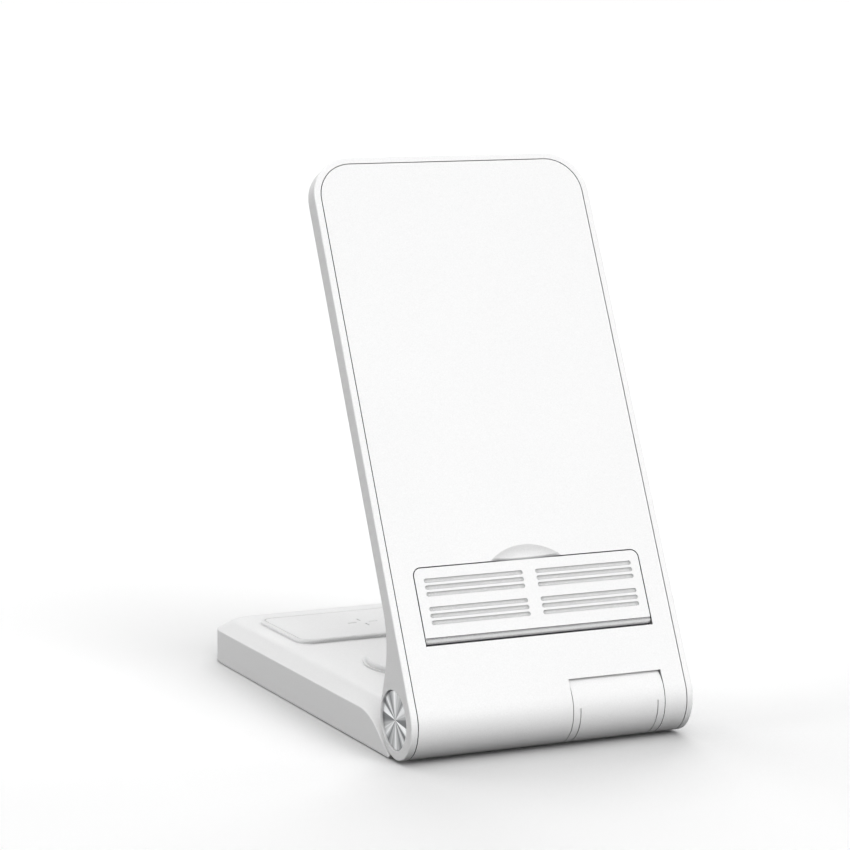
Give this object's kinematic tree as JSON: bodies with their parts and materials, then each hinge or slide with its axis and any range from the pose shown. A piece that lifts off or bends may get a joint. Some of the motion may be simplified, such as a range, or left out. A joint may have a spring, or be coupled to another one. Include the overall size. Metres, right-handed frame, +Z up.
{
  "type": "three in one wireless charger",
  "caption": "Folding desk charger: a leaning phone plate on a hinge barrel with a fold-out ledge, over a flat base with raised watch and earbuds pads.",
  "frame": {"origin": "on the table, under the middle of the object's box with the stand at its rest angle", "axes": "+X right seen from the front, +Y towards the back of the base, +Z up"},
  "size_m": [0.08, 0.1447, 0.1484],
  "materials": {
    "white_plastic": "moulded, fine matte grain",
    "spun_aluminium": "spun, radial brushing",
    "steel": "turned and bright",
    "acetal": "moulded",
    "copper_wire": "enamelled wire",
    "ferrite": "sintered",
    "nickel_magnet": "plated",
    "circuit_board": "solder mask",
    "inlet_steel": "plated",
    "inlet_plastic": "moulded",
    "foot_rubber": "matte"
  },
  "bodies": {
    "base": {"base_housing": "white_plastic", "base_bottom_cover": "white_plastic", "earbuds_pad": "white_plastic", "watch_pad": "white_plastic", "hinge_shaft": "steel", "earbuds_coil": "copper_wire", "earbuds_ferrite_disc": "ferrite", "watch_coil": "copper_wire", "watch_ferrite_ring": "ferrite", "watch_magnet": "nickel_magnet", "main_circuit_board": "circuit_board", "inlet_shell": "inlet_steel", "inlet_tongue": "inlet_plastic", "rubber_feet": "foot_rubber", "base_screws": "steel"},
    "stand": {"stand_frame": "white_plastic", "stand_front_panel": "white_plastic", "ledge_hinge_pins": "steel", "end_disc_left": "spun_aluminium", "end_disc_right": "spun_aluminium", "friction_clips": "steel", "hinge_bush": "acetal", "phone_coil_upper": "copper_wire", "phone_coil_lower": "copper_wire", "phone_ferrite_sheet": "ferrite", "stand_circuit_board": "circuit_board"},
    "ledge": {"phone_ledge": "white_plastic"}
  },
  "joints": [
    {"name": "stand_fold", "type": "hinge", "parent": "base", "child": "stand", "pos_m": [0, -0.06265, 0.0104], "axis": [1, 0, 0], "range_deg": [-64.3, 5.7]},
    {"name": "ledge_flip", "type": "hinge", "parent": "stand", "child": "ledge", "pos_m": [0, -0.06175, 0.0305], "axis": [1, 0, 0], "range_deg": [0, 90]}
  ]
}
